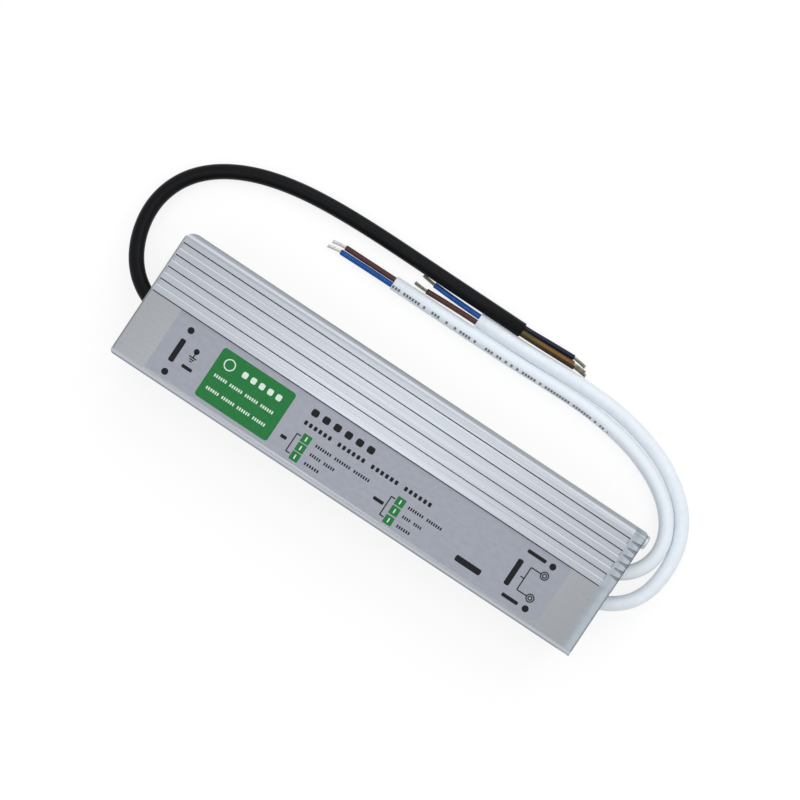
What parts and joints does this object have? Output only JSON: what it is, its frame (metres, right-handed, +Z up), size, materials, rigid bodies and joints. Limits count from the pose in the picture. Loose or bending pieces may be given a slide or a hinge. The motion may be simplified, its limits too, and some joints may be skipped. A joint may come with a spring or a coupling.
{
  "type": "led driver",
  "caption": "Sealed LED driver in a ribbed aluminium housing with a flat label panel, a black mains lead at one end and white output leads with bare tips at the other.",
  "frame": {"origin": "centre of the housing's base, on the surface it stands on", "axes": "+X along the housing to the output end, +Y to the ribbed far side, +Z up"},
  "size_m": [0.2465, 0.0962, 0.037],
  "materials": {
    "extruded_aluminium": "extruded, fine lines, clear anodised",
    "cap_aluminium": "cast, satin",
    "gasket_rubber": "moulded",
    "screw_steel": "zinc plated",
    "label_film": "printed polyester film, satin",
    "gland_black": "moulded",
    "gland_white": "moulded",
    "jacket_black": "extruded PVC, satin",
    "jacket_white": "extruded PVC, satin",
    "core_brown": "extruded PVC, satin",
    "core_blue": "extruded PVC, satin",
    "core_earth": "extruded PVC, yellow and green",
    "tinned_strand": "tinned copper strands",
    "board_laminate": "solder mask on glass laminate",
    "fuse_glass": "glass tube with plated caps",
    "clip_brass": "stamped",
    "disc_epoxy": "dipped epoxy",
    "film_box": "moulded box",
    "ferrite": "sintered",
    "copper": "enamelled wire",
    "winding_tape": "copper winding under polyester tape",
    "bobbin_plastic": "moulded",
    "can_sleeve": "shrunk sleeve on an aluminium can",
    "device_resin": "moulded resin",
    "bar_aluminium": "sawn bar",
    "pad_silicone": "filled silicone"
  },
  "bodies": {
    "root": {"housing": "extruded_aluminium", "input_end_cap": "cap_aluminium", "output_end_cap": "cap_aluminium", "input_gasket": "gasket_rubber", "output_gasket": "gasket_rubber", "input_cap_screws": "screw_steel", "output_cap_screws": "screw_steel", "label_film": "label_film", "input_gland": "gland_black", "output_gland_far": "gland_white", "output_gland_near": "gland_white", "gland_nuts": "screw_steel", "input_cable": "jacket_black", "output_cable_far": "jacket_white", "output_cable_near": "jacket_white", "input_live_core": "core_brown", "far_positive_core": "core_brown", "near_positive_core": "core_brown", "input_neutral_core": "core_blue", "far_negative_core": "core_blue", "near_negative_core": "core_blue", "input_earth_core": "core_earth", "input_strand_tips": "tinned_strand", "far_strand_tips": "tinned_strand", "near_strand_tips": "tinned_strand", "input_inner_leads": "core_brown", "output_inner_leads": "core_blue", "circuit_board": "board_laminate", "fuse": "fuse_glass", "fuse_clips": "clip_brass", "varistor": "disc_epoxy", "thermistor": "disc_epoxy", "y_capacitors": "disc_epoxy", "x_capacitor": "film_box", "choke_core": "ferrite", "inductor_core": "ferrite", "transformer_core": "ferrite", "choke_windings": "copper", "inductor_winding": "copper", "transformer_winding": "winding_tape", "transformer_bobbin": "bobbin_plastic", "bulk_capacitor": "can_sleeve", "output_capacitors": "can_sleeve", "bridge_rectifier": "device_resin", "switching_transistors": "device_resin", "output_rectifiers": "device_resin", "control_chip": "device_resin", "optocouplers": "device_resin", "heat_spreader": "bar_aluminium", "thermal_pad": "pad_silicone", "device_screws": "screw_steel"}
  },
  "joints": []
}
